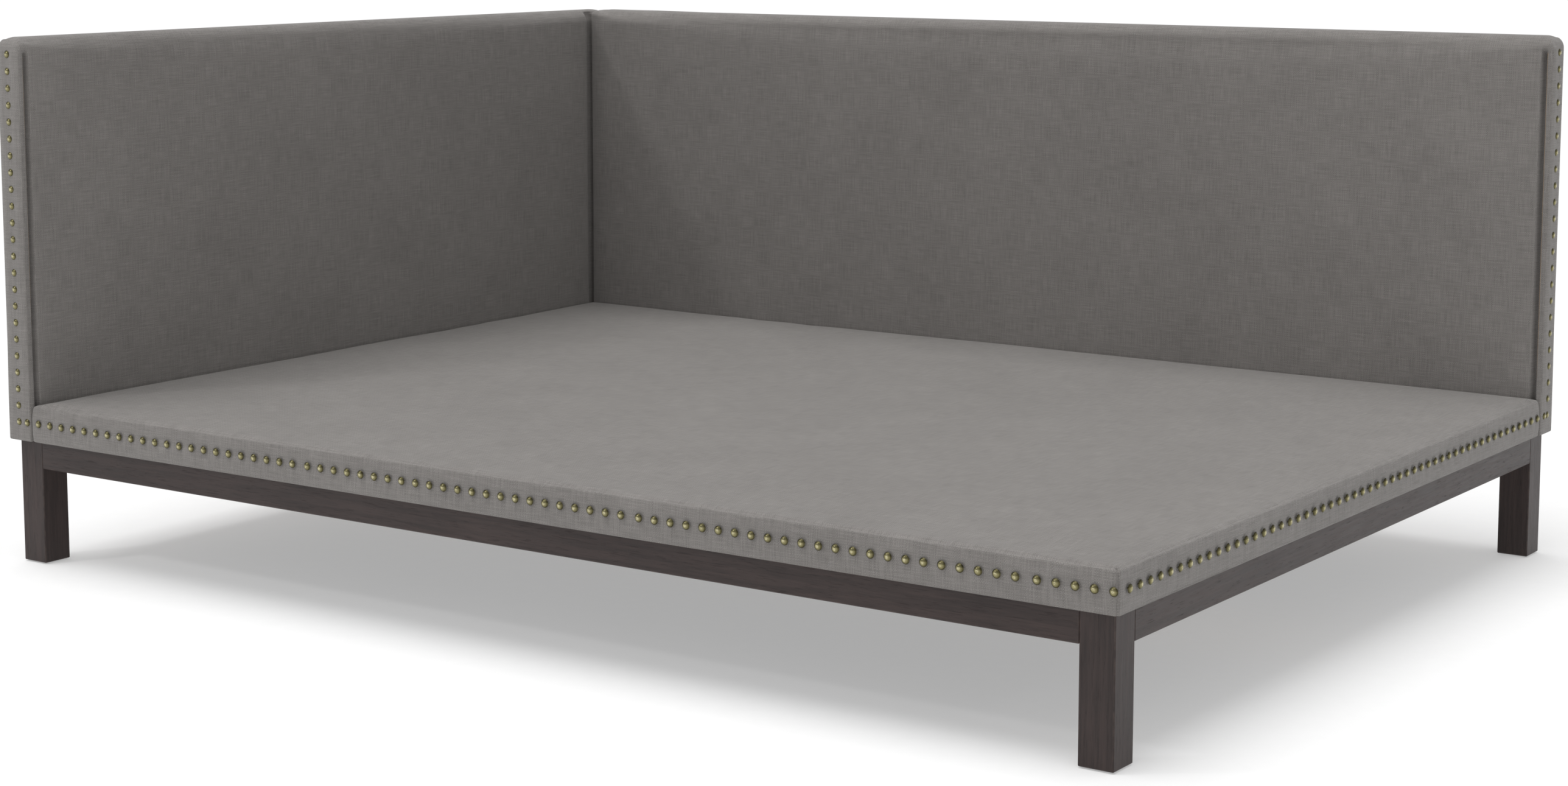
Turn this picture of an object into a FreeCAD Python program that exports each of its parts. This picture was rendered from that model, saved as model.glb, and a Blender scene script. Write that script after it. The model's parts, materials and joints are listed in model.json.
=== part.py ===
import FreeCAD, Part
import os
import Sketcher

from FreeCAD import Placement, Rotation, Vector

# Corner daybed: an upholstered deck with a side panel and a back panel of equal height, on a
# stained timber base. Millimetres, +Z up, the long way of the deck along X, the open front
# towards -Y, the open end towards +X. The origin is the centre of the outer box, on the floor.

DRIVING_DIMENSIONS = {
    # whole object, nail heads included
    "overall_length": 1964,
    "overall_depth": 1449,
    "overall_height": 825,
    # upholstered parts
    "panel_thick": 52,
    "deck_bottom": 194,
    "deck_top": 255,
    "fabric": 1.5,
    "side_wadding": 5,
    "top_foam": 13,
    "deck_edge_radius": 16,
    "deck_corner_radius": 18,
    "panel_top_radius": 22,
    "panel_end_radius": 6,
    "cover_turn_in": 12,
    # timber inside the deck
    "rail_thick": 28,
    "rail_high": 36,
    "joist_wide": 40,
    "board_thick": 9,
    # timber inside the panels
    "stud_thick": 30,
    "stud_wide": 45,
    "hardboard": 3,
    "panel_foam": 16,
    "crown_foam": 22,
    "plinth_high": 50,
    "facing_thick": 8,
    # stained base
    "apron_bottom": 152,
    "apron_thick": 24,
    "leg_side": 49,
    "open_side_inset": 9.5,
    "left_inset": 16.5,
    "back_inset": 18.5,
    "arris": 1.2,
    "brace_high": 34,
    "brace_lift": 4,
    "brace_gap": 2,
    "brace_width": 31,
    "stud_proud": 1.4,
    "ledger_thick": 24,
    "ledger_high": 30,
    "glide_radius": 14,
    "glide_high": 2,
    "glide_taper": 1,
    # centre support
    "beam_thick": 36,
    "shoe_plate": 2.5,
    "shoe_reach": 40,
    "shoe_wing": 22,
    "cheek_screw_reach": 26.5,
    "wing_screw_rise": 8,
    "plate_screw_margin": 2,
    "post_radius": 16,
    "post_wall": 2,
    "post_plate": 64,
    "post_plate_thick": 3,
    "post_spread": 640,
    "insert_bottom": 20,
    "insert_flange": 2,
    "insert_barrel": 22,
    "foot_radius": 20,
    "foot_high": 7,
    "stem_radius": 5,
    "stem_clearance": 0.05,
    "stem_top": 55,
    # fasteners
    "nail_radius": 6,
    "nail_proud": 3,
    "nail_shank": 1,
    "nail_length": 14,
    "nail_pitch": 26,
    "strip_gap": 3.8,
    "front_nail_start": 7.8,
    "right_nail_start": 26.2,
    "left_spare_nail": 18.2,
    "back_spare_nail": 12.4,
    "bolt_radius": 4,
    "leg_bolt_length": 66,
    "panel_bolt_length": 80,
    "hex_radius": 7.5,
    "hex_high": 5.5,
    "tee_nut_radius": 10,
    "tee_nut_flange": 1.5,
    "tee_nut_barrel": 5.5,
    "tee_nut_deep": 12,
    "screw_head": 4,
    "screw_sink": 2.5,
    "screw_shank": 2,
    "screw_point": 0.2,
    "screw_length": 34,
    "short_screw_length": 20,
    "dowel_radius": 4,
    "dowel_length": 40,
}

STILE_COUNT = {"left_panel": 4, "back_panel": 5}
JOIST_NAMES = ("left", "centre", "right")

# Nails in each length of the front's strip, from the open corner, then in the other rows
NAIL_RUNS = (5, 23, 23, 22)
RIGHT_ROW_NAILS = 53
COLUMN_NAILS = 23

# Where fasteners sit, as shares of the length that they are spread along
BRACE_SCREWS = (0.25, 0.75)
LEDGER_SCREWS = (0.15, 0.38, 0.62, 0.85)
FRONT_DOWELS = (0.12, 0.5, 0.88)
RIGHT_DOWELS = (0.12, 0.5)
LEFT_PANEL_BOLTS = (0.14, 0.44, 0.8)
BACK_PANEL_BOLTS = (0.12, 0.36, 0.64, 0.88)

# An edge or a face this near a plane counts as lying in it
NEAR_MM = 1
HEXAGON = "6"

doc = FreeCAD.newDocument("daybed")
sheet = doc.addObject("Spreadsheet::Sheet", "Dims")
for row, (alias, size) in enumerate(DRIVING_DIMENSIONS.items(), start=1):
    sheet.set(f"A{row}", alias)
    sheet.set(f"B{row}", str(size))
    sheet.setAlias(f"B{row}", alias)
doc.recompute()

# Planes of the outer faces and of the structure, as expressions of the sheet
LEFT = "(-Dims.overall_length / 2)"
RIGHT = "(Dims.overall_length / 2 - Dims.nail_proud)"
FRONT = "(-Dims.overall_depth / 2 + Dims.nail_proud)"
BACK = "(Dims.overall_depth / 2)"
ROOM_LEFT = f"({LEFT} + Dims.panel_thick)"
ROOM_BACK = f"({BACK} - Dims.panel_thick)"
TOP = "Dims.overall_height"
FRAME_BOTTOM = "(Dims.deck_bottom + Dims.fabric)"

BASE_LEFT = f"({LEFT} + Dims.left_inset)"
BASE_RIGHT = f"({RIGHT} - Dims.open_side_inset)"
BASE_FRONT = f"({FRONT} + Dims.open_side_inset)"
BASE_BACK = f"({BACK} - Dims.back_inset)"

# The sketcher's own numbers for the origin and the two axes
ORIGIN = (-1, 1)
X_AXIS, Y_AXIS = -1, -2

subparts = {}


def value(expression):
    """The number that an expression of the sheet stands for."""
    return float(sheet.evalExpression(expression))


def keep(label, item):
    """Names a finished sub-part, which is written to its own file."""
    item.Label = label
    subparts[label] = item
    return item


def place(item, at, rotation=Rotation()):
    """Binds an object's position to expressions, with a fixed rotation."""
    item.Placement = Placement(Vector(), rotation)
    for axis, expression in zip("xyz", at):
        item.setExpression(f"Placement.Base.{axis}", expression)


def primitive(kind, name, at=("0", "0", "0"), rotation=Rotation(), **sizes):
    """A Part primitive with every size bound to the sheet."""
    item = doc.addObject(f"Part::{kind}", name)
    for size, expression in sizes.items():
        item.setExpression(size, expression)
    place(item, at, rotation)
    return item


def fused(name, *pieces):
    item = doc.addObject("Part::MultiFuse", name)
    item.Shapes = list(pieces)
    return item


def cut(base, *tools):
    """The base with each tool taken out of it in turn."""
    for tool in tools:
        result = doc.addObject("Part::Cut", "cut")
        result.Base = base
        result.Tool = tool
        base = result
    return base


def inside(base, envelope):
    """The part of the base that the envelope holds, such as timber eased to a rounded end."""
    result = doc.addObject("Part::Common", "eased")
    result.Base = base
    result.Tool = envelope
    return result


def origin_plane(body, role):
    return next(item for item in body.Origin.OriginFeatures if item.Role == role)


def polygon_sketch(body, corners):
    """A closed outline on the body's XY plane, each corner held by two bound distances."""
    sketch = body.newObject("Sketcher::SketchObject", "outline")
    sketch.AttachmentSupport = [(origin_plane(body, "XY_Plane"), "")]
    sketch.MapMode = "FlatFace"
    points = [Vector(value(x), value(y), 0) for x, y in corners]
    for start, end in zip(points, points[1:] + points[:1]):
        sketch.addGeometry(Part.LineSegment(start, end), False)
    count = len(points)
    for index in range(count):
        sketch.addConstraint(Sketcher.Constraint("Coincident", index, 2, (index + 1) % count, 1))
    for index, corner in enumerate(corners):
        for kind, expression in zip(("DistanceX", "DistanceY"), corner):
            if value(expression) == 0:
                axis = Y_AXIS if kind == "DistanceX" else X_AXIS
                sketch.addConstraint(Sketcher.Constraint("PointOnObject", index, 1, axis))
                continue
            size = value(expression)
            number = sketch.addConstraint(Sketcher.Constraint(kind, *ORIGIN, index, 1, size))
            sketch.setExpression(f"Constraints[{number}]", expression)
    return sketch


def prism(name, corners, height, at, rotation=Rotation()):
    """A body padded upwards from an outline of bound corners."""
    body = doc.addObject("PartDesign::Body", name)
    pad = body.newObject("PartDesign::Pad", "pad")
    pad.Profile = polygon_sketch(body, corners)
    pad.setExpression("Length", height)
    place(body, at, rotation)
    return body


def block(name, size, at, rotation=Rotation()):
    """A rectangular body with its low corner at the given place."""
    length, depth, height = size
    corners = (("0", "0"), (length, "0"), (length, depth), ("0", depth))
    return prism(name, corners, height, at, rotation)


def between(low, high):
    """The size and the low corner of a box from its two opposite corners."""
    return [f"({b}) - ({a})" for a, b in zip(low, high)], low


def box_body(name, low, high):
    size, corner = between(low, high)
    return block(name, size, corner)


def round_edges(body, radius, wanted):
    """Rounds the edges of the body's tip whose box of extent passes the test."""
    doc.recompute()
    tip = body.Tip
    names = []
    for index, edge in enumerate(tip.Shape.Edges, start=1):
        if wanted(edge.BoundBox):
            names.append(f"Edge{index}")
    fillet = body.newObject("PartDesign::Fillet", "rounding")
    fillet.Base = (tip, names)
    fillet.setExpression("Radius", radius)
    body.Tip = fillet
    return body


def break_arrises(body):
    """A small chamfer along every edge of a timber piece."""
    doc.recompute()
    tip = body.Tip
    chamfer = body.newObject("PartDesign::Chamfer", "arris")
    chamfer.Base = (tip, [f"Edge{index + 1}" for index in range(len(tip.Shape.Edges))])
    chamfer.setExpression("Size", "Dims.arris")
    body.Tip = chamfer
    return body


def group(label, master, placements):
    """Identical fasteners in one node, each a separate copy of the master's solid."""
    doc.recompute()
    copies = []
    for placement in placements:
        copy = master.Shape.copy()
        copy.Placement = placement.multiply(copy.Placement)
        copies.append(copy)
    item = doc.addObject("Part::Feature", label)
    item.Shape = Part.Compound(copies)
    return keep(label, item)


def facing(direction):
    """Turns a fastener, whose head points up, to point its head along the direction."""
    return Rotation(Vector(0, 0, 1), Vector(*direction))


def spot(x, y, z, direction=(0, 0, 1)):
    return Placement(Vector(x, y, z), facing(direction))


# ---------------------------------------------------------------------------
# Fastener masters: heads up, with the seat of the head at z = 0
# ---------------------------------------------------------------------------
def headed_bolt(name, length):
    head = primitive(
        "Prism", f"{name}_head",
        Polygon=HEXAGON, Circumradius="Dims.hex_radius", Height="Dims.hex_high",
    )
    shank = primitive(
        "Cylinder", f"{name}_shank", ("0", "0", f"-{length}"),
        Radius="Dims.bolt_radius", Height=f"{length} + Dims.hex_high / 2",
    )
    return fused(name, head, shank)


def wood_screw(name, length):
    """A countersunk screw: the top of its head is at z = 0."""
    head = primitive(
        "Cone", f"{name}_head", ("0", "0", "-Dims.screw_sink"),
        Radius1="Dims.screw_shank", Radius2="Dims.screw_head", Height="Dims.screw_sink",
    )
    shank = primitive(
        "Cylinder", f"{name}_shank", ("0", "0", f"-{length} + Dims.screw_head"),
        Radius="Dims.screw_shank", Height=f"{length} - Dims.screw_head - Dims.screw_sink",
    )
    tip = primitive(
        "Cone", f"{name}_tip", ("0", "0", f"-{length}"),
        Radius1="Dims.screw_point", Radius2="Dims.screw_shank", Height="Dims.screw_head",
    )
    return fused(name, head, shank, tip)


def decorative_nail():
    """A domed head, a spherical cap, on a plain shank."""
    ball = "((Dims.nail_radius ^ 2 + Dims.nail_proud ^ 2) / (2 * Dims.nail_proud))"
    dome = primitive(
        "Sphere", "nail_dome", ("0", "0", f"Dims.nail_proud - {ball}"),
        Radius=ball, Angle1=f"asin(1 - Dims.nail_proud / {ball})",
    )
    shank = primitive(
        "Cylinder", "nail_shank", ("0", "0", "-Dims.nail_length"),
        Radius="Dims.nail_shank", Height="Dims.nail_length + Dims.nail_proud / 2",
    )
    return fused("decorative_nail", dome, shank)


def hex_nut():
    body = primitive(
        "Prism", "nut_body",
        Polygon=HEXAGON, Circumradius="Dims.hex_radius", Height="Dims.hex_high",
    )
    bore = primitive("Cylinder", "nut_bore", Radius="Dims.bolt_radius", Height="Dims.hex_high")
    return cut(body, bore)


def tee_nut():
    """A flange at z = 0 with its barrel below it and a through bore."""
    flange = primitive(
        "Cylinder", "tee_nut_flange", ("0", "0", "-Dims.tee_nut_flange"),
        Radius="Dims.tee_nut_radius", Height="Dims.tee_nut_flange",
    )
    barrel = primitive(
        "Cylinder", "tee_nut_barrel", ("0", "0", "-Dims.tee_nut_deep"),
        Radius="Dims.tee_nut_barrel", Height="Dims.tee_nut_deep",
    )
    bore = primitive(
        "Cylinder", "tee_nut_bore", ("0", "0", "-Dims.tee_nut_deep"),
        Radius="Dims.bolt_radius", Height="Dims.tee_nut_deep",
    )
    return cut(fused("tee_nut", flange, barrel), bore)


# ---------------------------------------------------------------------------
# Stained base: four legs, four aprons, corner braces and ledgers
# ---------------------------------------------------------------------------
CORNERS = {
    "front_left": (-1, -1, BASE_LEFT, BASE_FRONT),
    "front_right": (1, -1, BASE_RIGHT, BASE_FRONT),
    "back_left": (-1, 1, BASE_LEFT, BASE_BACK),
    "back_right": (1, 1, BASE_RIGHT, BASE_BACK),
}
DIAGONAL = 2 ** 0.5


def inner_corner(corner):
    """Where the inner faces of a corner's two aprons meet."""
    side_x, side_y, x, y = CORNERS[corner]
    return value(f"{x} - {side_x} * Dims.apron_thick"), value(f"{y} - {side_y} * Dims.apron_thick")


def make_leg_bolts():
    """A stud through each brace into its leg, along the corner's diagonal, with its nut."""
    brace_near = value("2 * (Dims.leg_side - Dims.apron_thick) + Dims.brace_gap")
    brace_far = brace_near + value("Dims.brace_width")
    height = value("Dims.apron_bottom + Dims.brace_lift + Dims.brace_high / 2")
    bolts, nuts = [], []
    for corner, (side_x, side_y, _, _) in CORNERS.items():
        x, y = inner_corner(corner)
        inward = (-side_x, -side_y, 0)
        seat = brace_far / 2
        end = seat + value("Dims.hex_high + Dims.stud_proud") / DIAGONAL
        bolts.append(spot(x - side_x * end, y - side_y * end, height, inward))
        nuts.append(spot(x - side_x * seat, y - side_y * seat, height, inward))
    stud = primitive(
        "Cylinder", "leg_stud", ("0", "0", "-Dims.leg_bolt_length"),
        Radius="Dims.bolt_radius", Height="Dims.leg_bolt_length",
    )
    group("leg_bolt_nuts", hex_nut(), nuts)
    return group("leg_bolts", stud, bolts)


def make_base_screws():
    """Two screws through each brace into each of its aprons, and a row along each ledger."""
    near = value("2 * (Dims.leg_side - Dims.apron_thick) + Dims.brace_gap")
    along = near + value("Dims.brace_width") / 3
    deep = near + value("Dims.brace_width") - along
    bottom = value("Dims.apron_bottom + Dims.brace_lift")
    levels = [bottom + value("Dims.brace_high") * part for part in BRACE_SCREWS]
    spots = []
    for corner, (side_x, side_y, _, _) in CORNERS.items():
        x, y = inner_corner(corner)
        for z in levels:
            spots.append(spot(x - side_x * along, y - side_y * deep, z, (0, -side_y, 0)))
            spots.append(spot(x - side_x * deep, y - side_y * along, z, (-side_x, 0, 0)))
    level = value("Dims.deck_bottom - Dims.ledger_high / 2")
    face_x = value(f"{BASE_LEFT} + Dims.apron_thick + Dims.ledger_thick")
    face_y = value(f"{BASE_BACK} - Dims.apron_thick - Dims.ledger_thick")
    for part in LEDGER_SCREWS:
        y = value(f"{BASE_FRONT} + ({BASE_BACK} - {BASE_FRONT}) * {part}")
        x = value(f"{BASE_LEFT} + ({BASE_RIGHT} - {BASE_LEFT}) * {part}")
        spots.append(spot(face_x, y, level, (1, 0, 0)))
        spots.append(spot(x, face_y, level, (0, -1, 0)))
    return group("base_screws", wood_screw("long_screw", "Dims.screw_length"), spots)


def make_dowels():
    """Dowels standing in the front and right aprons, which locate the deck."""
    front_y = value(f"{BASE_FRONT} + Dims.apron_thick / 2")
    right_x = value(f"{BASE_RIGHT} - Dims.apron_thick / 2")
    z = value("Dims.deck_bottom - Dims.dowel_length / 2")
    spots = []
    for part in FRONT_DOWELS:
        x = value(f"{BASE_LEFT} + ({BASE_RIGHT} - {BASE_LEFT}) * {part}")
        spots.append(spot(x, front_y, z))
    for part in RIGHT_DOWELS:
        y = value(f"{BASE_FRONT} + ({BASE_BACK} - {BASE_FRONT}) * {part}")
        spots.append(spot(right_x, y, z))
    dowel = primitive("Cylinder", "dowel", Radius="Dims.dowel_radius", Height="Dims.dowel_length")
    return group("locating_dowels", dowel, spots)


def make_legs(leg_bolts):
    glides = []
    for corner, (side_x, side_y, x, y) in CORNERS.items():
        low_x = x if side_x < 0 else f"{x} - Dims.leg_side"
        low_y = y if side_y < 0 else f"{y} - Dims.leg_side"
        size = ("Dims.leg_side", "Dims.leg_side", "Dims.deck_bottom - Dims.glide_high")
        leg = block(f"{corner}_leg_blank", size, (low_x, low_y, "Dims.glide_high"))
        keep(f"{corner}_leg", cut(break_arrises(leg), leg_bolts))
        middle_x = value(f"{x} - {side_x} * Dims.leg_side / 2")
        middle_y = value(f"{y} - {side_y} * Dims.leg_side / 2")
        glides.append(spot(middle_x, middle_y, 0))
    glide = primitive(
        "Cone", "glide", Radius1="Dims.glide_radius - Dims.glide_taper",
        Radius2="Dims.glide_radius", Height="Dims.glide_high",
    )
    group("floor_glides", glide, glides)


def make_aprons(screws, dowels, beam_screws):
    low, high = "Dims.apron_bottom", "Dims.deck_bottom"
    leg, thick = "Dims.leg_side", "Dims.apron_thick"
    spans = {
        "front_apron": (
            (f"{BASE_LEFT} + {leg}", BASE_FRONT, low),
            (f"{BASE_RIGHT} - {leg}", f"{BASE_FRONT} + {thick}", high),
        ),
        "back_apron": (
            (f"{BASE_LEFT} + {leg}", f"{BASE_BACK} - {thick}", low),
            (f"{BASE_RIGHT} - {leg}", BASE_BACK, high),
        ),
        "left_apron": (
            (BASE_LEFT, f"{BASE_FRONT} + {leg}", low),
            (f"{BASE_LEFT} + {thick}", f"{BASE_BACK} - {leg}", high),
        ),
        "right_apron": (
            (f"{BASE_RIGHT} - {thick}", f"{BASE_FRONT} + {leg}", low),
            (BASE_RIGHT, f"{BASE_BACK} - {leg}", high),
        ),
    }
    for label, corners in spans.items():
        apron = break_arrises(box_body(f"{label}_blank", *corners))
        keep(label, cut(apron, screws, dowels, beam_screws))


def make_braces(leg_bolts, screws):
    """A trapezoid block across each corner, between the two aprons' inner faces."""
    near = "(2 * (Dims.leg_side - Dims.apron_thick) + Dims.brace_gap)"
    far = f"({near} + Dims.brace_width)"
    outline = ((near, "0"), (far, "0"), ("0", far), ("0", near))
    quarter_turns = {"front_left": 0, "front_right": 1, "back_right": 2, "back_left": 3}
    for corner, (side_x, side_y, x, y) in CORNERS.items():
        at = (
            f"{x} - {side_x} * Dims.apron_thick",
            f"{y} - {side_y} * Dims.apron_thick",
            "Dims.apron_bottom + Dims.brace_lift",
        )
        turn = Rotation(Vector(0, 0, 1), 90 * quarter_turns[corner])
        brace = prism(f"{corner}_brace_blank", outline, "Dims.brace_high", at, turn)
        keep(f"{corner}_brace", cut(brace, leg_bolts, screws))


def make_ledgers(screws, beam_screws):
    """Cleats inside the left and back aprons, which carry the deck's hidden edges."""
    low, high = "Dims.deck_bottom - Dims.ledger_high", "Dims.deck_bottom"
    inside_left = f"{BASE_LEFT} + Dims.apron_thick"
    inside_back = f"{BASE_BACK} - Dims.apron_thick"
    past_brace = "Dims.leg_side + 2 * (Dims.leg_side - Dims.apron_thick) + Dims.brace_width"
    left = box_body(
        "left_ledger_blank",
        (inside_left, f"{BASE_FRONT} + {past_brace}", low),
        (f"{inside_left} + Dims.ledger_thick", f"{BASE_BACK} - ({past_brace})", high),
    )
    back = box_body(
        "back_ledger_blank",
        (f"{BASE_LEFT} + {past_brace}", f"{inside_back} - Dims.ledger_thick", low),
        (f"{BASE_RIGHT} - ({past_brace})", inside_back, high),
    )
    keep("left_ledger", cut(left, screws, beam_screws))
    keep("back_ledger", cut(back, screws))


# ---------------------------------------------------------------------------
# Centre support: a beam in two steel shoes, on two posts with screw-in feet
# ---------------------------------------------------------------------------
BEAM_LEFT = f"({BASE_LEFT} + Dims.apron_thick + Dims.ledger_thick)"
BEAM_RIGHT = f"({BASE_RIGHT} - Dims.apron_thick)"
BEAM_MIDDLE = f"(({FRONT} + {ROOM_BACK}) / 2)"
BEAM_BOTTOM = "(Dims.apron_bottom + Dims.shoe_plate)"
POSTS = {
    "left": f"(({BEAM_LEFT} + {BEAM_RIGHT} - Dims.post_spread) / 2)",
    "right": f"(({BEAM_LEFT} + {BEAM_RIGHT} + Dims.post_spread) / 2)",
}


def make_beam_screws():
    """Short screws through the shoes' wings and cheeks, and through the posts' top plates."""
    spots = []
    middle = value(BEAM_MIDDLE)
    wing = value("Dims.beam_thick / 2 + Dims.shoe_plate + Dims.shoe_wing / 2")
    cheek = value("Dims.beam_thick / 2 + Dims.shoe_plate")
    reach = value("Dims.cheek_screw_reach")
    rise = value("Dims.wing_screw_rise")
    plate = value("Dims.shoe_plate")
    mid_z = value("Dims.deck_bottom - Dims.ledger_high / 2")
    for end, inward in ((value(BEAM_LEFT), 1), (value(BEAM_RIGHT), -1)):
        for side in (-1, 1):
            for z in (mid_z - rise, mid_z + rise):
                x = end + inward * plate
                spots.append(spot(x, middle + side * wing, z, (inward, 0, 0)))
            spots.append(spot(end + inward * reach, middle + side * cheek, mid_z, (0, side, 0)))
    under = value(f"{BEAM_BOTTOM} - Dims.post_plate_thick")
    offset = value("Dims.beam_thick / 2 - Dims.screw_head - Dims.plate_screw_margin")
    along = value("Dims.post_plate / 2 - Dims.screw_head - Dims.plate_screw_margin")
    for post_x in POSTS.values():
        for side_x in (-1, 1):
            for side_y in (-1, 1):
                at = (value(post_x) + side_x * along, middle + side_y * offset, under)
                spots.append(spot(*at, (0, 0, -1)))
    screw = wood_screw("short_screw", "Dims.short_screw_length")
    return group("beam_screws", screw, spots)


def make_beam(beam_screws):
    half = "Dims.beam_thick / 2"
    beam = box_body(
        "centre_beam_blank",
        (f"{BEAM_LEFT} + Dims.shoe_plate", f"{BEAM_MIDDLE} - {half}", BEAM_BOTTOM),
        (f"{BEAM_RIGHT} - Dims.shoe_plate", f"{BEAM_MIDDLE} + {half}", "Dims.deck_bottom"),
    )
    keep("centre_beam", cut(beam, beam_screws))


def shoe(side, end, inward, beam_screws):
    """A bent steel shoe: a winged back plate, a sole and two cheeks round the beam's end."""
    half, plate = "Dims.beam_thick / 2", "Dims.shoe_plate"
    reach = f"({plate} + Dims.shoe_reach)"
    cheek_top = "(Dims.deck_bottom - Dims.arris)"

    def leaf(name, far, low_y, high_y, low_z, high_z):
        low_x = end if inward > 0 else f"{end} - {far}"
        high_x = f"{end} + {far}" if inward > 0 else end
        size, corner = between((low_x, low_y, low_z), (high_x, high_y, high_z))
        lengths = dict(zip(("Length", "Width", "Height"), size))
        return primitive("Box", f"{side}_shoe_{name}", corner, **lengths)

    wide = f"({half} + {plate} + Dims.shoe_wing)"
    near, outer = f"({half})", f"({half} + {plate})"
    middle = BEAM_MIDDLE
    ledger_low = "(Dims.deck_bottom - Dims.ledger_high)"
    leaves = [
        leaf("back", plate, f"{middle} - {wide}", f"{middle} + {wide}", ledger_low, cheek_top),
        leaf("throat", plate, f"{middle} - {outer}", f"{middle} + {outer}",
             "Dims.apron_bottom", cheek_top),
        leaf("sole", reach, f"{middle} - {outer}", f"{middle} + {outer}",
             "Dims.apron_bottom", BEAM_BOTTOM),
        leaf("front_cheek", reach, f"{middle} - {outer}", f"{middle} - {near}",
             "Dims.apron_bottom", cheek_top),
        leaf("back_cheek", reach, f"{middle} + {near}", f"{middle} + {outer}",
             "Dims.apron_bottom", cheek_top),
    ]
    return cut(fused(f"{side}_shoe", *leaves), beam_screws)


def make_shoes(beam_screws):
    """The two shoes are one node, as two separate solids."""
    pair = doc.addObject("Part::Compound", "shoe_pair")
    pair.Links = [
        shoe("left", BEAM_LEFT, 1, beam_screws),
        shoe("right", BEAM_RIGHT, -1, beam_screws),
    ]
    keep("beam_shoes", pair)


def make_posts(beam_screws):
    plate_low = f"({BEAM_BOTTOM} - Dims.post_plate_thick)"
    tube_low = "(Dims.insert_bottom + Dims.insert_flange)"
    inserts = []
    for side, x in POSTS.items():
        half = "Dims.post_plate / 2"
        plate = primitive(
            "Box", f"{side}_post_plate",
            (f"{x} - {half}", f"{BEAM_MIDDLE} - Dims.beam_thick / 2", plate_low),
            Length="Dims.post_plate", Width="Dims.beam_thick", Height="Dims.post_plate_thick",
        )
        tube = primitive(
            "Cylinder", f"{side}_post_tube", (x, BEAM_MIDDLE, tube_low),
            Radius="Dims.post_radius", Height=f"{plate_low} - {tube_low}",
        )
        hollow = primitive(
            "Cylinder", f"{side}_post_hollow", (x, BEAM_MIDDLE, tube_low),
            Radius="Dims.post_radius - Dims.post_wall", Height=f"{plate_low} - {tube_low}",
        )
        post = cut(fused(f"{side}_post", cut(tube, hollow), plate), beam_screws)
        keep(f"centre_post_{side}", post)
        inserts.append(make_insert(side, x))
        make_foot(side, x)
    pair = doc.addObject("Part::Compound", "insert_pair")
    pair.Links = inserts
    keep("post_inserts", pair)


def make_insert(side, x):
    """The threaded plug in the bottom of a post, with a bore for the foot's stem."""
    flange = primitive(
        "Cylinder", f"{side}_insert_flange", (x, BEAM_MIDDLE, "Dims.insert_bottom"),
        Radius="Dims.post_radius", Height="Dims.insert_flange",
    )
    barrel = primitive(
        "Cylinder", f"{side}_insert_barrel", (x, BEAM_MIDDLE, "Dims.insert_bottom"),
        Radius="Dims.post_radius - Dims.post_wall", Height="Dims.insert_barrel",
    )
    bore = primitive(
        "Cylinder", f"{side}_insert_bore", (x, BEAM_MIDDLE, "Dims.insert_bottom"),
        Radius="Dims.stem_radius", Height="Dims.insert_barrel",
    )
    return cut(fused(f"{side}_insert", flange, barrel), bore)


def make_foot(side, x):
    """A levelling foot: a round pad on the floor and the stem that screws into the post."""
    disc = primitive(
        "Cylinder", f"{side}_foot_disc", (x, BEAM_MIDDLE, "0"),
        Radius="Dims.foot_radius", Height="Dims.foot_high / 2",
    )
    shoulder = primitive(
        "Cone", f"{side}_foot_shoulder", (x, BEAM_MIDDLE, "Dims.foot_high / 2"),
        Radius1="Dims.foot_radius", Radius2="Dims.foot_radius / 2", Height="Dims.foot_high / 2",
    )
    keep(f"foot_pad_{side}", fused(f"{side}_foot_pad", disc, shoulder))
    stem = primitive(
        "Cylinder", f"{side}_foot_stem", (x, BEAM_MIDDLE, "Dims.foot_high"),
        Radius="Dims.stem_radius - Dims.stem_clearance", Height="Dims.stem_top - Dims.foot_high",
    )
    keep(f"foot_stem_{side}", stem)


# ---------------------------------------------------------------------------
# Deck: a timber frame with joists and boards, foam and a fitted cover
# ---------------------------------------------------------------------------
DECK_LOW = (ROOM_LEFT, FRONT, "Dims.deck_bottom")
DECK_HIGH = (RIGHT, ROOM_BACK, "Dims.deck_top")
FOAM_LOW = (f"({ROOM_LEFT} + Dims.fabric)", f"({FRONT} + Dims.fabric)", FRAME_BOTTOM)
FOAM_HIGH = (f"({RIGHT} - Dims.fabric)", f"({ROOM_BACK} - Dims.fabric)",
             "(Dims.deck_top - Dims.fabric)")
CORE_LOW = (FOAM_LOW[0], f"({FOAM_LOW[1]} + Dims.side_wadding)", FRAME_BOTTOM)
CORE_HIGH = (f"({FOAM_HIGH[0]} - Dims.side_wadding)", FOAM_HIGH[1],
             f"({FRAME_BOTTOM} + Dims.rail_high + Dims.board_thick)")
RAIL_TOP = f"({FRAME_BOTTOM} + Dims.rail_high)"


def rounded_deck(name, low, high, edge_radius, corner_radius):
    """A deck-shaped body, rounded at its open corner and along its open top edges."""
    body = box_body(name, low, high)
    length, depth, height = (value(size) for size in between(low, high)[0])
    near_corner = value(corner_radius) + NEAR_MM

    def open_corner(box):
        at_end = box.XMin > length - NEAR_MM and box.YMax < NEAR_MM
        return box.ZLength > height / 2 and at_end

    def open_top_chain(box):
        on_top = box.ZMin > height - NEAR_MM
        front_or_end = box.YMax < NEAR_MM or box.XMin > length - NEAR_MM
        at_corner = box.XMin > length - near_corner and box.YMax < near_corner
        return on_top and (front_or_end or at_corner)

    round_edges(body, corner_radius, open_corner)
    return round_edges(body, edge_radius, open_top_chain)


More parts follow.
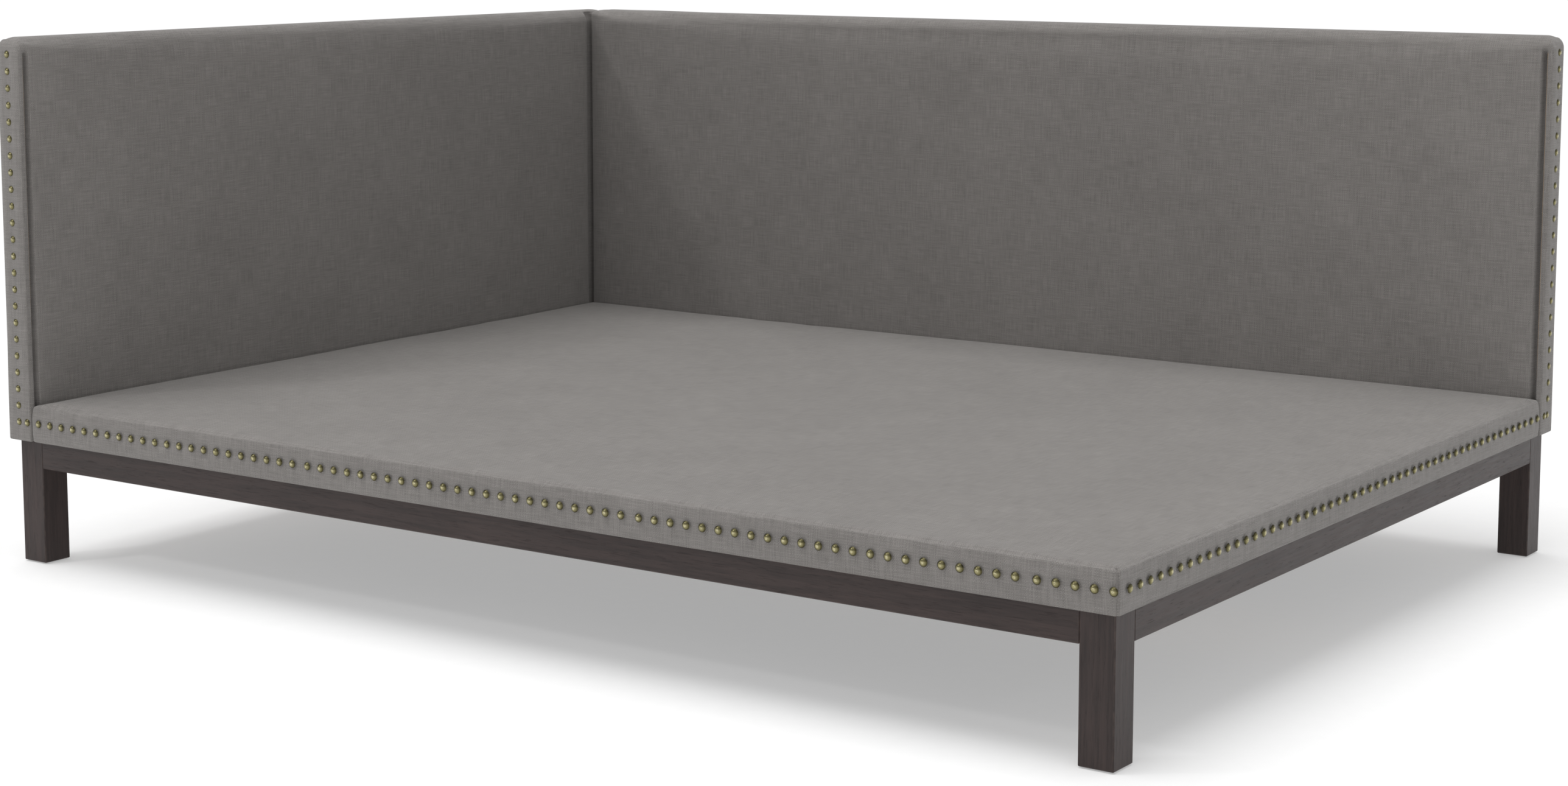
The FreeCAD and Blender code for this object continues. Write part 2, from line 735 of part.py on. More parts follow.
def make_deck(dowels, panel_bolts):
    outer = rounded_deck(
        "deck_outer", DECK_LOW, DECK_HIGH, "Dims.deck_edge_radius", "Dims.deck_corner_radius"
    )
    envelope = rounded_deck(
        "deck_envelope", FOAM_LOW, FOAM_HIGH,
        "Dims.deck_edge_radius - Dims.fabric", "Dims.deck_corner_radius - Dims.fabric",
    )
    inset = "Dims.rail_thick"
    lining_low = (f"{FOAM_LOW[0]} + {inset}", f"{CORE_LOW[1]} + {inset}", "Dims.deck_bottom")
    lining_high = (f"{CORE_HIGH[0]} - {inset}", f"{FOAM_HIGH[1]} - {inset}", FRAME_BOTTOM)
    opening = box_body("deck_cover_opening", lining_low, lining_high)
    keep("deck_cover", cut(outer, envelope, opening, dowels, panel_bolts))
    core = box_body("deck_core", CORE_LOW, CORE_HIGH)
    keep("deck_foam", cut(envelope, core))
    keep("deck_dust_cover", box_body("dust_cover", lining_low, lining_high))


def make_deck_frame(dowels, panel_bolts):
    left, front, low = CORE_LOW
    right, back, board_top = CORE_HIGH
    thick = "Dims.rail_thick"
    inner_front, inner_back = f"{front} + {thick}", f"{back} - {thick}"
    rails = {
        "deck_rail_front": ((left, front, low), (right, inner_front, RAIL_TOP)),
        "deck_rail_back": ((left, inner_back, low), (right, back, RAIL_TOP)),
        "deck_rail_left": ((left, inner_front, low), (f"{left} + {thick}", inner_back, RAIL_TOP)),
        "deck_rail_right": ((f"{right} - {thick}", inner_front, low), (right, inner_back, RAIL_TOP)),
    }
    for label, corners in rails.items():
        keep(label, cut(box_body(f"{label}_blank", *corners), dowels, panel_bolts))
    for number, name in enumerate(JOIST_NAMES, start=1):
        part = number / (len(JOIST_NAMES) + 1)
        middle = f"({left} + ({right} - {left}) * {part})"
        joist = box_body(
            f"joist_{name}",
            (f"{middle} - Dims.joist_wide / 2", inner_front, low),
            (f"{middle} + Dims.joist_wide / 2", inner_back, RAIL_TOP),
        )
        keep(f"deck_joist_{name}", joist)
    seam = f"(({left} + {right}) / 2)"
    keep("deck_board_left", box_body("left_board", (left, front, RAIL_TOP), (seam, back, board_top)))
    keep("deck_board_right",
         box_body("right_board", (seam, front, RAIL_TOP), (right, back, board_top)))


# ---------------------------------------------------------------------------
# Panels. In a panel's own frame x runs along it, y from the room side outwards.
# ---------------------------------------------------------------------------
PANELS = {
    "left_panel": {
        "length": f"({BACK} - {FRONT})",
        "facing_at_start": True,
        "spot": lambda x, y, z: (f"{ROOM_LEFT} - ({y})", f"{FRONT} + ({x})", z),
        "turn": Rotation(Vector(0, 0, 1), 90),
    },
    "back_panel": {
        "length": f"({RIGHT} - {ROOM_LEFT})",
        "facing_at_start": False,
        "spot": lambda x, y, z: (f"{ROOM_LEFT} + ({x})", f"{ROOM_BACK} + ({y})", z),
        "turn": Rotation(),
    },
}


def panel_block(panel, name, low, high):
    """A rectangular body given by two corners in the panel's own frame."""
    size, corner = between(low, high)
    return block(name, size, panel["spot"](*corner), panel["turn"])


def rounded_panel(panel, name, inset, low_z):
    """A panel-shaped body with rounded top edges and rounded ends."""
    length, thick = panel["length"], "Dims.panel_thick"
    low = (inset, inset, low_z)
    high = (f"{length} - {inset}", f"{thick} - {inset}", f"{TOP} - {inset}")
    body = panel_block(panel, name, low, high)
    body_length, _, height = (value(size) for size in between(low, high)[0])

    def long_top_edge(box):
        return box.ZMin > height - NEAR_MM and box.XLength > body_length / 2

    def end_edge(box):
        return box.XLength < NEAR_MM and box.ZMax > NEAR_MM

    round_edges(body, f"Dims.panel_top_radius - {inset}", long_top_edge)
    return round_edges(body, f"Dims.panel_end_radius - {inset}", end_edge)


def make_panel(name, panel, panel_bolts, tee_nuts):
    length, thick, fabric = panel["length"], "Dims.panel_thick", "Dims.fabric"
    room, outer = fabric, f"({thick} - {fabric})"
    board_room = f"({outer} - Dims.stud_thick - Dims.hardboard)"
    stud_room = f"({outer} - Dims.stud_thick)"
    low = FRAME_BOTTOM
    plinth_top = f"({low} + Dims.plinth_high)"
    frame_top = f"({TOP} - {fabric} - Dims.crown_foam)"
    if panel["facing_at_start"]:
        start, end = f"({fabric} + Dims.facing_thick)", f"({length} - {fabric})"
        facing_start, facing_end = fabric, start
    else:
        start, end = fabric, f"({length} - {fabric} - Dims.facing_thick)"
        facing_start, facing_end = end, f"({length} - {fabric})"

    shell = rounded_panel(panel, f"{name}_outer", "0", "Dims.deck_bottom")
    envelope = rounded_panel(panel, f"{name}_envelope", fabric, low)
    opening = panel_block(
        panel, f"{name}_cover_opening",
        ("Dims.cover_turn_in", "Dims.cover_turn_in", "Dims.deck_bottom"),
        (f"{length} - Dims.cover_turn_in", f"{thick} - Dims.cover_turn_in", low),
    )
    keep(f"{name}_cover", cut(shell, envelope, opening, panel_bolts))

    facing = panel_block(
        panel, f"{name}_facing_board", (facing_start, room, low), (facing_end, outer, frame_top))
    keep(f"{name}_facing", inside(facing, envelope))
    plinth = panel_block(
        panel, f"{name}_plinth_blank", (start, room, low), (end, outer, plinth_top))
    keep(f"{name}_bottom_rail", cut(inside(plinth, envelope), panel_bolts, tee_nuts))
    rail_low = f"({frame_top} - Dims.stud_wide)"
    rail = panel_block(
        panel, f"{name}_top", (start, stud_room, rail_low), (end, outer, frame_top))
    keep(f"{name}_top_rail", inside(rail, envelope))
    keep(f"{name}_board", panel_block(
        panel, f"{name}_hardboard", (start, board_room, plinth_top), (end, stud_room, frame_top)))

    stiles = doc.addObject("Part::Compound", f"{name}_stile_set")
    gaps = STILE_COUNT[name] - 1
    for number in range(gaps + 1):
        near = f"({start} + ({end} - {start} - Dims.stud_wide) * {number} / {gaps})"
        stile = panel_block(
            panel, f"{name}_stile_{number}",
            (near, stud_room, plinth_top), (f"{near} + Dims.stud_wide", outer, rail_low))
        stiles.Links += [inside(stile, envelope)]
    keep(f"{name}_stiles", stiles)

    whole_start, whole_end = fabric, f"({length} - {fabric})"
    core = panel_block(
        panel, f"{name}_core", (whole_start, board_room, low), (whole_end, outer, frame_top))
    foot = panel_block(
        panel, f"{name}_core_foot", (whole_start, room, low), (whole_end, outer, plinth_top))
    end_board = panel_block(
        panel, f"{name}_core_end", (facing_start, room, low), (facing_end, outer, frame_top))
    keep(f"{name}_foam", cut(envelope, core, foot, end_board))


def make_panel_bolts():
    """Bolts from inside the deck into tee nuts in the panels' bottom rails."""
    z = value(f"{FRAME_BOTTOM} + Dims.rail_high / 2")
    head_x = value(f"{FOAM_LOW[0]} + Dims.rail_thick")
    head_y = value(f"{FOAM_HIGH[1]} - Dims.rail_thick")
    nut_x = value(f"{LEFT} + Dims.fabric")
    nut_y = value(f"{BACK} - Dims.fabric")
    bolts, nuts = [], []
    for part in LEFT_PANEL_BOLTS:
        y = value(f"{FRONT} + ({ROOM_BACK} - {FRONT}) * {part}")
        bolts.append(spot(head_x, y, z, (1, 0, 0)))
        nuts.append(spot(nut_x, y, z, (-1, 0, 0)))
    for part in BACK_PANEL_BOLTS:
        x = value(f"{ROOM_LEFT} + ({RIGHT} - {ROOM_LEFT}) * {part}")
        bolts.append(spot(x, head_y, z, (0, -1, 0)))
        nuts.append(spot(x, nut_y, z, (0, 1, 0)))
    bolt = headed_bolt("panel_bolt", "Dims.panel_bolt_length")
    return group("panel_bolts", bolt, bolts), group("panel_tee_nuts", tee_nut(), nuts)


# ---------------------------------------------------------------------------
# Decorative nails: one row round the deck and one column up each panel's end
# ---------------------------------------------------------------------------
def make_nails():
    nail = decorative_nail()
    pitch = value("Dims.nail_pitch")
    level = value("(Dims.deck_bottom + Dims.deck_top) / 2")
    front, right = value(FRONT), value(RIGHT)
    front_out, right_out = (0, -1, 0), (1, 0, 0)

    row = []
    x = right - value("Dims.front_nail_start")
    for run in NAIL_RUNS:
        for _ in range(run):
            row.append(spot(x, front, level, front_out))
            x -= pitch
        x -= value("Dims.strip_gap")
    first = front + value("Dims.right_nail_start")
    row += [spot(right, first + pitch * k, level, right_out) for k in range(RIGHT_ROW_NAILS)]
    group("deck_nails", nail, row)

    middle_x = value(f"{LEFT} + Dims.panel_thick / 2")
    beside = value("Dims.left_spare_nail")
    left = [spot(middle_x, front, level + pitch * k, front_out) for k in range(COLUMN_NAILS)]
    left.append(spot(middle_x + beside, front, level, front_out))
    group("left_panel_nails", nail, left)

    middle_y = value(f"{BACK} - Dims.panel_thick / 2")
    beside = value("Dims.back_spare_nail")
    back = [spot(right, middle_y, level + pitch * k, right_out) for k in range(COLUMN_NAILS)]
    back.append(spot(right, middle_y - beside, level, right_out))
    group("back_panel_nails", nail, back)


def check_document():
    doc.recompute()
    for item in doc.Objects:
        if "Invalid" in item.State or "Error" in item.State:
            raise RuntimeError(f"{item.Label} failed: {item.State}")
    for label, item in subparts.items():
        if item.Shape.isNull() or not item.Shape.isValid():
            raise RuntimeError(f"{label} has no valid shape")


def write_subparts():
    os.makedirs("parts", exist_ok=True)
    for label, item in subparts.items():
        item.Shape.exportStep(f"parts/{label}.step")


leg_bolts = make_leg_bolts()
base_screws = make_base_screws()
beam_screws = make_beam_screws()
dowels = make_dowels()
panel_bolts, tee_nuts = make_panel_bolts()
make_legs(leg_bolts)
make_aprons(base_screws, dowels, beam_screws)
make_braces(leg_bolts, base_screws)
make_ledgers(base_screws, beam_screws)
make_beam(beam_screws)
make_shoes(beam_screws)
make_posts(beam_screws)
make_deck(dowels, panel_bolts)
make_deck_frame(dowels, panel_bolts)
for panel_name, panel_frame in PANELS.items():
    make_panel(panel_name, panel_frame, panel_bolts, tee_nuts)
make_nails()
check_document()
write_subparts()
print(len(subparts), "sub-parts written")
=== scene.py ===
import json
import math

import bmesh
import bpy
import numpy as np
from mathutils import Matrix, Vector


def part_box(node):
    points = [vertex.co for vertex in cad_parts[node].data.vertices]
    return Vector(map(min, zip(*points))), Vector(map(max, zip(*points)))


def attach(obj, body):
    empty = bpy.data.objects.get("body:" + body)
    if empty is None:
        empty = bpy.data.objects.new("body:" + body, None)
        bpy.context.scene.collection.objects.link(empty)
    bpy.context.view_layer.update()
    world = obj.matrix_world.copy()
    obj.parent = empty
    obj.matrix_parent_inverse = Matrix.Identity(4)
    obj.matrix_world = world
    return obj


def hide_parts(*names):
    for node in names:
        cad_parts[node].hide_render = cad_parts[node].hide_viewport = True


# Corner daybed. The timber, steel and nails are the CAD's own parts with detailed materials.
# The upholstery is rebuilt here: three hollow pads, let out by a cloth simulation, then given
# their seams, their grooves and the pull of each nail. Metres, in the CAD's frame.

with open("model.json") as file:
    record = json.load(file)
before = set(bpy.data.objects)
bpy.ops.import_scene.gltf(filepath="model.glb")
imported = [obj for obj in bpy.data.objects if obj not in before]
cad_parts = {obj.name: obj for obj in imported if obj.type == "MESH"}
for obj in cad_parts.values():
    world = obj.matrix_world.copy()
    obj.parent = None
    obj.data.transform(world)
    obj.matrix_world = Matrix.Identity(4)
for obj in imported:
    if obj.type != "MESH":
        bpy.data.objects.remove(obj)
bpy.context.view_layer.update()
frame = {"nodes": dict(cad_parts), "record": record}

MM = 0.001
EPS = 0.1 * MM
WELD = 0.01 * MM
ARC_STEPS = 5  # grid cells from an edge to where its rounding ends
GRID_STEP = 13 * MM  # between the grid lines of a flat face
NEAR_LINE = 1.2 * MM  # a grid line this close to a named place gives way to it
SIM_FRAMES = 20
PRESSURE = 4.0


# ---------------------------------------------------------------------------
# Pads: a box of grid lines with rounded edges, open underneath
# ---------------------------------------------------------------------------
def eased(value, start, end):
    """0 at start, 1 at end, and a smooth rise between them."""
    share = np.clip((value - start) / (end - start), 0, 1)
    return share * share * (3 - 2 * share)


def rise(value, low, over):
    """0 up to over[0] past low, and 1 from over[1] past it."""
    return eased(value, low + over[0], low + over[1])


def fall(value, high, over):
    """1 until over[0] short of high, and 0 from over[1] short of it."""
    return 1 - eased(value, high - over[0], high - over[1])


def bump(value, centre, width):
    """1 at the centre, with a flat top, and falling fast about a width away."""
    return np.exp(-(np.abs(value - centre) / width) ** 4)


def grid_lines(low, high, ease_low, ease_high, middle=None, extra=()):
    """Grid lines across a pad: closer where its ends are rounded and at the extra places."""
    bends = 1 - np.tan(np.linspace(math.pi / 4, 0, ARC_STEPS + 1))
    first, last = low + ease_low, high - ease_high
    if middle is None:
        middle = np.linspace(first, last, round((last - first) / GRID_STEP) + 1)
    middle = middle[(middle > first + NEAR_LINE) & (middle < last - NEAR_LINE)]
    lines = np.concatenate([low + ease_low * bends, middle, high - ease_high * bends])
    for place in extra:
        lines = lines[np.abs(lines - place) > NEAR_LINE]
        lines = np.append(lines, place)
    return np.sort(lines)


def box_of_lines(lines, opening):
    """The points and quads of a box of grid lines, left open underneath within the opening."""
    shape = [len(axis_lines) for axis_lines in lines]
    strides = (shape[1] * shape[2], shape[2], 1)
    quads = []
    for axis, outward in ((0, True), (1, False), (2, True)):
        a, b = (other for other in range(3) if other != axis)
        cells = np.meshgrid(np.arange(shape[a] - 1), np.arange(shape[b] - 1))
        across, along = (grid.ravel() for grid in cells)
        for end in (0, shape[axis] - 1):
            corners = [
                end * strides[axis] + (across + i) * strides[a] + (along + j) * strides[b]
                for i, j in ((0, 0), (1, 0), (1, 1), (0, 1))
            ]
            if (end > 0) != outward:
                corners.reverse()
            kept = np.ones(len(across), bool)
            if axis == 2 and end == 0:
                for which, cell, (near, far) in ((a, across, opening[0]), (b, along, opening[1])):
                    centre = (lines[which][cell] + lines[which][cell + 1]) / 2
                    kept &= (centre > near) & (centre < far)
                kept = ~kept
            quads.append(np.stack(corners, axis=1)[kept])
    codes, faces = np.unique(np.concatenate(quads), return_inverse=True)
    places = np.unravel_index(codes, shape)
    points = np.stack([axis_lines[i] for axis_lines, i in zip(lines, places)], axis=1)
    return points, faces.reshape(-1, 4)


def rounded(points, low, high, radius_low, radius_high, power=2.0):
    """Moves the points of a box's faces onto the same box with rounded edges. A power above 2
    keeps the upright edges crisper than the others."""
    inner = np.clip(points, low + radius_low, high - radius_high)
    away = points - inner
    radius = np.where(away < 0, radius_low, radius_high)
    share = away / radius
    level = (np.abs(share[:, :2]) ** np.reshape(power, (-1, 1))).sum(axis=1) ** (1 / power)
    length = np.hypot(level, share[:, 2])[:, None]
    return inner + radius * share / np.maximum(length, 1)


def mesh_object(name, points, faces):
    mesh = bpy.data.meshes.new(name)
    mesh.from_pydata(points.tolist(), [], faces.tolist())
    mesh.update()
    made = bpy.data.objects.new(name, mesh)
    bpy.context.scene.collection.objects.link(made)
    return made


def points_of(mesh):
    points = np.zeros(len(mesh.vertices) * 3, np.float32)
    mesh.vertices.foreach_get("co", points)
    return points.reshape(-1, 3).astype(float)


def set_points(mesh, points):
    mesh.vertices.foreach_set("co", points.astype(np.float32).ravel())
    mesh.update()


def evaluated_mesh(obj):
    graph = bpy.context.evaluated_depsgraph_get()
    return bpy.data.meshes.new_from_object(obj.evaluated_get(graph))


# ---------------------------------------------------------------------------
# Cloth: each cover is let out by the pad behind it, and no point goes further than its cap
# ---------------------------------------------------------------------------
def add_cloth(obj, held):
    group = obj.vertex_groups.new(name="held")
    for index in np.flatnonzero(held > 0).tolist():
        group.add([index], float(held[index]), "REPLACE")
    cloth = obj.modifiers.new("cover", "CLOTH")
    settings = cloth.settings
    settings.quality = 6
    settings.mass = 0.3
    settings.tension_stiffness = 40
    settings.compression_stiffness = 40
    settings.shear_stiffness = 10
    settings.bending_stiffness = 2
    settings.air_damping = 2
    settings.use_pressure = True
    settings.uniform_pressure_force = PRESSURE
    settings.vertex_group_mass = "held"
    settings.effector_weights.gravity = 0
    cloth.point_cache.frame_start = 1
    cloth.point_cache.frame_end = SIM_FRAMES


def let_out(pads):
    """Runs the covers' cloth together, then caps and applies how far each point has gone."""
    for pad in pads:
        add_cloth(pad["object"], pad["held"])
    for number in range(1, SIM_FRAMES + 1):
        bpy.context.scene.frame_set(number)
    for pad in pads:
        obj = pad["object"]
        settled = evaluated_mesh(obj)
        start = points_of(obj.data)
        move = points_of(settled) - start
        bpy.data.meshes.remove(settled)
        length = np.linalg.norm(move, axis=1, keepdims=True)
        move *= np.minimum(1, pad["cap"][:, None] / np.maximum(length, EPS))
        move *= 1 - pad["held"][:, None]
        obj.modifiers.clear()
        obj.vertex_groups.clear()
        set_points(obj.data, start + move)
    bpy.context.scene.frame_set(1)


def subdivide(obj):
    finer = obj.modifiers.new("finer", "SUBSURF")
    finer.levels = finer.render_levels = 1
    smooth = evaluated_mesh(obj)
    obj.modifiers.clear()
    rough = obj.data
    obj.data = smooth
    bpy.data.meshes.remove(rough)


# ---------------------------------------------------------------------------
# The inside of a pad, round its frame
# ---------------------------------------------------------------------------
def hollow(obj, levels):
    """Closes a pad round the frame inside it: its open edge goes up through a row of loops.
    Each level gives the next loop's points from the opening's own."""
    shell = bmesh.new()
    shell.from_mesh(obj.data)
    beside = {}
    for edge in shell.edges:
        if edge.is_boundary:
            a, b = edge.verts
            beside.setdefault(a, []).append(b)
            beside.setdefault(b, []).append(a)
    start = next(iter(beside))
    ring, ahead = [start], beside[start][0]
    while ahead is not start:
        ring.append(ahead)
        ahead = next(v for v in beside[ahead] if v is not ring[-2])
    base = np.array([v.co for v in ring], float)
    for level in levels:
        above = [shell.verts.new(place) for place in level(base)]
        for i in range(len(ring)):
            j = (i + 1) % len(ring)
            shell.faces.new((ring[i], ring[j], above[j], above[i]))
        ring = above
    shell.faces.new(ring)
    bmesh.ops.remove_doubles(shell, verts=shell.verts[:], dist=WELD)
    bmesh.ops.recalc_face_normals(shell, faces=shell.faces[:])
    shell.to_mesh(obj.data)
    shell.free()


def stretched(base, old, new, height):
    """The loop's points moved from one rectangle to another, at a height."""
    made = base.copy()
    for axis in (0, 1):
        (low, high), (to_low, to_high) = old[axis], new[axis]
        made[:, axis] = to_low + (base[:, axis] - low) * (to_high - to_low) / (high - low)
    made[:, 2] = height
    return made


def trimmed(loop, room):
    """The loop with its corners brought in, to stay inside the pad's rounded upright edges."""
    middle = np.mean(room, axis=1)
    half = np.ptp(room, axis=1) / 2
    corner = np.isclose(np.abs(loop[:, :2] - middle), half).all(axis=1)
    loop[corner, :2] -= CORNER_CUT * np.sign(loop[corner, :2] - middle)
    return loop


def span(nodes, axis):
    """The lowest and highest place of some CAD nodes along an axis."""
    boxes = [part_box(node) for node in nodes]
    return min(low[axis] for low, _ in boxes), max(high[axis] for _, high in boxes)


# ---------------------------------------------------------------------------
# The nails, and how the cover is held down at each and stands out between them
# ---------------------------------------------------------------------------
DOME_TOP = 0.02 * MM
NAILS_APART = 4 * MM
NAIL_REACH = 8 * MM


def nail_tips(node, axis, sign):
    """The tops of the domes of a node's nails that point along an axis."""
    points = points_of(frame["nodes"][node].data)
    out = points[:, axis] * sign
    tips = np.unique(np.round(points[out > out.max() - DOME_TOP], 4), axis=0)
    kept = [tips[0]]
    for tip in tips[1:]:
        if min(np.linalg.norm(tip - other) for other in kept) > NAILS_APART:
            kept.append(tip)
    return np.array(kept)


def between_nails(places):
    """Grid lines at each nail and half way between neighbours."""
    places = np.sort(places)
    return np.sort(np.concatenate([places, (places[1:] + places[:-1]) / 2]))


def pull(points, tips, axes):
    """How far the cover stands out between its nails: 0 at a nail, 1 well away from all."""
    flat, heads = points[:, axes], tips[:, axes]
    near = np.full(len(points), np.inf)
    for head in heads:
        near = np.minimum(near, ((flat - head) ** 2).sum(axis=1))
    return 1 - np.exp(-near / NAIL_REACH**2)


# ---------------------------------------------------------------------------
# The deck. Each pair of distances, here and below, is where a change starts and where it ends.
# ---------------------------------------------------------------------------
DECK_TOP_ROUND = 16 * MM
DECK_BACK_ROUND = 9 * MM  # along the two sides that the panels hide
DECK_BACK_BLEND = 60 * MM
DECK_HEM_ROUND = 3 * MM
DECK_CORNER = 7 * MM
DECK_CORNER_EXTRA = 5 * MM  # how much rounder the upright corners are at the top
DECK_CORNER_BLEND = np.array([18, 2]) * MM
DECK_BAND_LINES = 8
DECK_TOP_CAP = 3.2 * MM
DECK_SIDE_CAP = 1.0 * MM

DECK_STAND_OUT = 1.1 * MM
DECK_FACE = 4 * MM
DECK_BAND_RISE = np.array([3, 14]) * MM
DECK_BAND_FALL = np.array([24, 8]) * MM
DECK_BAND_END = np.array([5, 14]) * MM

SEAM_LINES = np.array([0.7, 1.6, 2.8]) * MM
SEAM_WIDTH = 1.5 * MM
SEAM_DEPTH = 3.4 * MM
SEAM_REACH = 14 * MM
SEAM_FALL = np.array([9, 1]) * MM

deck_low, deck_high = (np.array(corner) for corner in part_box("deck_cover"))
front_tips = nail_tips("deck_nails", 1, -1)
right_tips = nail_tips("deck_nails", 0, 1)


def make_deck():
    opening = [span(["deck_dust_cover"], axis) for axis in (0, 1)]
    lines = (
        grid_lines(deck_low[0], deck_high[0], DECK_BACK_ROUND, DECK_TOP_ROUND,
                   between_nails(front_tips[:, 0]), [*(deck_high[0] - SEAM_LINES), *opening[0]]),
        grid_lines(deck_low[1], deck_high[1], DECK_TOP_ROUND, DECK_BACK_ROUND,
                   between_nails(right_tips[:, 1]), [*(deck_low[1] + SEAM_LINES), *opening[1]]),
        grid_lines(deck_low[2], deck_high[2], DECK_HEM_ROUND, DECK_TOP_ROUND,
                   np.linspace(deck_low[2], deck_high[2], DECK_BAND_LINES)),
    )
    flat, faces = box_of_lines(lines, opening)
    x, y, z = flat.T
    corner = DECK_CORNER + DECK_CORNER_EXTRA * eased(z, *(deck_high[2] - DECK_CORNER_BLEND))
    back = np.full_like(z, DECK_BACK_ROUND)
    hem = np.full_like(z, DECK_HEM_ROUND)
    open_side = eased(x, deck_low[0], deck_low[0] + DECK_BACK_BLEND)
    open_side *= 1 - eased(y, deck_high[1] - DECK_BACK_BLEND, deck_high[1])
    crown = DECK_BACK_ROUND + (DECK_TOP_ROUND - DECK_BACK_ROUND) * open_side
    points = rounded(flat, deck_low, deck_high, np.stack([back, corner, hem], axis=1),
                     np.stack([corner, back, crown], axis=1))
    on_top = z > deck_high[2] - EPS
    under = z < deck_low[2] + EPS
    hidden = (x < deck_low[0] + EPS) | (y > deck_high[1] - EPS)
    return {
        "object": mesh_object("deck_upholstery", points, faces),
        "held": np.where(under | hidden & ~on_top, 1.0, 0.0),
        "cap": np.where(on_top, DECK_TOP_CAP, DECK_SIDE_CAP),
        "opening": opening,
    }


def finish_deck(deck):
    obj = deck["object"]
    subdivide(obj)
    points = points_of(obj.data)
    x, y, z = points.T
    band = rise(z, deck_low[2], DECK_BAND_RISE) * fall(z, deck_high[2], DECK_BAND_FALL)
    front = (y < deck_low[1] + DECK_FACE) * fall(x, deck_high[0], DECK_BAND_END[::-1])
    right = (x > deck_high[0] - DECK_FACE) * rise(y, deck_low[1], DECK_BAND_END)
    y = y - DECK_STAND_OUT * band * front * pull(points, front_tips, [0, 2])
    x = x + DECK_STAND_OUT * band * right * pull(points, right_tips, [1, 2])
    # the sewn corner: a fine line along the open corner, drawn in towards the frame
    across = ((deck_high[0] - x) - (y - deck_low[1])) / math.sqrt(2)
    near = (x > deck_high[0] - SEAM_REACH) & (y < deck_low[1] + SEAM_REACH)
    seam = np.exp(-((across / SEAM_WIDTH) ** 2)) * near * fall(z, deck_high[2], SEAM_FALL)
    x = x - SEAM_DEPTH * seam / math.sqrt(2)
    y = y + SEAM_DEPTH * seam / math.sqrt(2)
    # nothing goes past the faces that stand against something
    x = np.maximum(x, deck_low[0])
    y = np.minimum(y, deck_high[1])
    z = np.maximum(z, deck_low[2])
    set_points(obj.data, np.stack([x, y, z], axis=1))
    rails = [f"deck_rail_{side}" for side in ("front", "back", "left", "right")]
    room = [span(rails, axis) for axis in (0, 1)]
    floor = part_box("deck_rail_front")[0].z
    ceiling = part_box("deck_board_left")[1].z
    opening = deck["opening"]
    hollow(obj, [
        lambda base: stretched(base, opening, opening, floor),
        lambda base: stretched(base, opening, room, floor),
        lambda base: stretched(base, opening, room, ceiling),
    ])


# ---------------------------------------------------------------------------
# The two panels. In a panel's own frame s runs along it from its nailed end, and t from the
# room side outwards; z is the frame's.
# ---------------------------------------------------------------------------
PANEL_TOP_ROUND = 22 * MM
PANEL_HEM_ROUND = 3.2 * MM
PANEL_FOOT_ROUND = 4 * MM  # the upright edges, at the foot
PANEL_FOOT_BLEND = 20 * MM
PANEL_CROWN_BLEND = 40 * MM
UPRIGHT_INSET = 1.9 * MM  # how far rounding takes an upright edge in, along each side
PANEL_TOP_CAP = 2.2 * MM
PANEL_SIDE_CAP = 3.5 * MM
NEAR_EDGE = 2.5 * MM
TURN_IN = 12 * MM
BACK_CROWN_LESS = 10 * MM  # the back panel's crown is crisper where the left panel meets it
BACK_CROWN_BLEND = np.array([60, 10]) * MM
SET_BACK = 1.0 * MM  # the pad's face behind the end strip's edge
SET_BACK_DEPTH = 10 * MM
SET_BACK_LENGTH = 40 * MM

PANEL_STAND_OUT = 0.9 * MM
STRIP_FACE = 3 * MM
STRIP_RISE = np.array([4, 16]) * MM
STRIP_FALL = np.array([30, 12]) * MM
STRIP_SIDE = np.array([4, 14]) * MM

GROOVE = {"centre": 14.3 * MM, "width": 3.75 * MM, "depth": 12.5 * MM, "behind": 0.9 * MM}
GROOVE_LINES = GROOVE["centre"] + np.array([-6, -4.5, -3.3, -1.5, 1.5, 3.3, 4.5, 6, 9]) * MM
GROOVE_FACE = 12 * MM
GROOVE_FALL = np.array([34, 20]) * MM

# the hollow in the left panel's face where the back panel's cover meets it
CORNER_LINES = np.array([-18, -15, -11.5, -8, -4.5, -1, 3, 9, 15, 21]) * MM
CORNER_DEPTH = 10 * MM
CORNER_START = np.array([-16, -1]) * MM
CORNER_END = np.array([9, 21]) * MM
CORNER_FACE = 14 * MM
CORNER_FALL = np.array([14, 2]) * MM

# the cavity's lower edge and upright edges are cut, to stay inside the rounded cover
RAIL_CHAMFER = 1 * MM
CORNER_CUT = 1.3 * MM

left_low, left_high = (np.array(corner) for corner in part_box("left_panel_cover"))
back_low, back_high = (np.array(corner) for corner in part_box("back_panel_cover"))

PANELS = {
    "left_panel": {
        "length": left_high[1] - left_low[1],
        "thick": left_high[0] - left_low[0],
        "low": left_low[2],
        "high": left_high[2],
        "to_frame": lambda s, t, z: (left_high[0] - t, left_low[1] + s, z),
        "to_own": lambda x, y, z: (y - left_low[1], left_high[0] - x, z),
        "mirrored": False,
        "nails": (1, -1),
    },
    "back_panel": {
        "length": back_high[0] - back_low[0],
        "thick": back_high[1] - back_low[1],
        "low": back_low[2],
        "high": back_high[2],
        "to_frame": lambda s, t, z: (back_high[0] - s, back_low[1] + t, z),
        "to_own": lambda x, y, z: (back_high[0] - x, y - back_low[1], z),
        "mirrored": True,
        "nails": (0, 1),
    },
}


def moved(points, way):
    """Points taken from one frame to another by a panel's to_frame or to_own."""
    return np.stack(way(*points.T), axis=1)


def own_box(panel, node):
    """A CAD node's box in the panel's own frame."""
    ends = moved(np.array([list(corner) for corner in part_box(node)]), panel["to_own"])
    return ends.min(axis=0), ends.max(axis=0)


